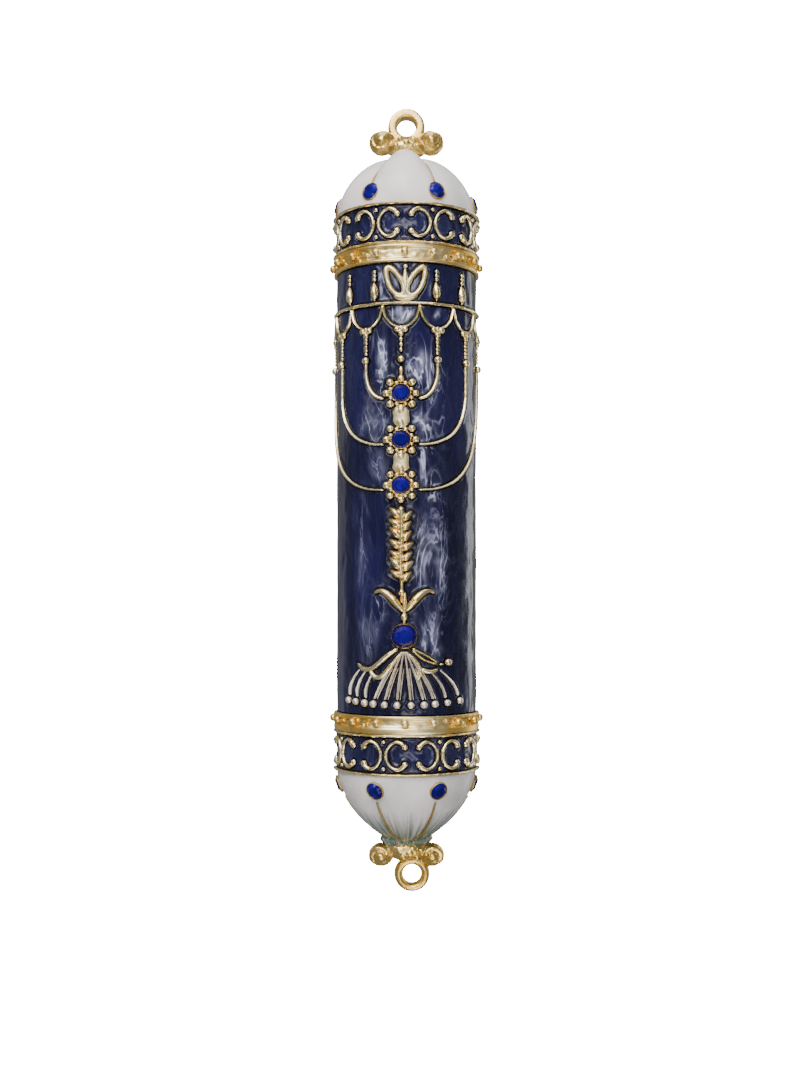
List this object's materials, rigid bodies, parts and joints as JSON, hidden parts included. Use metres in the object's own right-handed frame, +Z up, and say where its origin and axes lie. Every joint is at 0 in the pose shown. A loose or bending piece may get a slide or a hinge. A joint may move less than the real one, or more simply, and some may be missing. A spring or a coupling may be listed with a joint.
{
  "type": "mezuzah case",
  "caption": "Half-round enamelled case for a rolled parchment, with gold filigree, blue stones, domed ends, pierced hanging lugs and a lift-off cover in its flat back.",
  "frame": {"origin": "centre of the flat back at mid-length, on the doorpost's surface", "axes": "+Z up along the case, +Y into the doorpost, -Y out of the enamelled front, +X to the right seen from the front"},
  "size_m": [0.0248, 0.0141, 0.128],
  "materials": {
    "navy_enamel": "glossy marbled enamel on metal",
    "white_enamel": "glossy enamel on metal",
    "gold": "pale gold plating with dark recesses",
    "blue_stone": "faceted, foil-backed",
    "pewter": "plain matt metal",
    "parchment": "matt, blank"
  },
  "bodies": {
    "case": {"tube_shell": "navy_enamel", "top_scroll_band": "navy_enamel", "bottom_scroll_band": "navy_enamel", "top_dome": "white_enamel", "bottom_dome": "white_enamel", "top_collar": "gold", "bottom_collar": "gold", "top_lug": "gold", "bottom_lug": "gold", "top_scroll_gallery": "gold", "bottom_scroll_gallery": "gold", "top_dome_wires": "gold", "bottom_dome_wires": "gold", "frieze_palmette": "gold", "frieze_drop_1": "gold", "frieze_drop_2": "gold", "frieze_drop_3": "gold", "frieze_drop_4": "gold", "scallop_trim": "gold", "bead_chain_left_1": "gold", "bead_chain_left_2": "gold", "bead_chain_left_3": "gold", "bead_chain_right_1": "gold", "bead_chain_right_2": "gold", "bead_chain_right_3": "gold", "bead_chain_middle": "gold", "rosette_1": "gold", "rosette_2": "gold", "rosette_3": "gold", "stem_plate_1": "gold", "stem_plate_2": "gold", "branch_left_1": "gold", "branch_left_2": "gold", "branch_left_3": "gold", "branch_right_1": "gold", "branch_right_2": "gold", "branch_right_3": "gold", "leaf_spine": "gold", "wing_leaf": "gold", "base_setting": "gold", "base_fan": "gold", "ribbon_left": "gold", "ribbon_right": "gold", "rosette_stone_1": "blue_stone", "rosette_stone_2": "blue_stone", "rosette_stone_3": "blue_stone", "base_stone": "blue_stone", "top_dome_wires_stone_1": "blue_stone", "top_dome_wires_stone_2": "blue_stone", "top_dome_wires_stone_3": "blue_stone", "top_dome_wires_stone_4": "blue_stone", "bottom_dome_wires_stone_1": "blue_stone", "bottom_dome_wires_stone_2": "blue_stone", "bottom_dome_wires_stone_3": "blue_stone", "bottom_dome_wires_stone_4": "blue_stone", "back_plate": "pewter"},
    "cover": {"back_cover": "pewter"},
    "parchment": {"parchment_scroll": "parchment"}
  },
  "joints": [
    {"name": "cover_lift_off", "type": "slide", "parent": "case", "child": "cover", "axis": [0, 1, 0], "range_m": [0, 0.03]},
    {"name": "parchment_take_out", "type": "slide", "parent": "case", "child": "parchment", "axis": [0, 1, 0], "range_m": [0, 0.015]}
  ],
  "couplings": [
    {"joint": "parchment_take_out", "follows": "cover_lift_off", "ratio": 0.5}
  ]
}
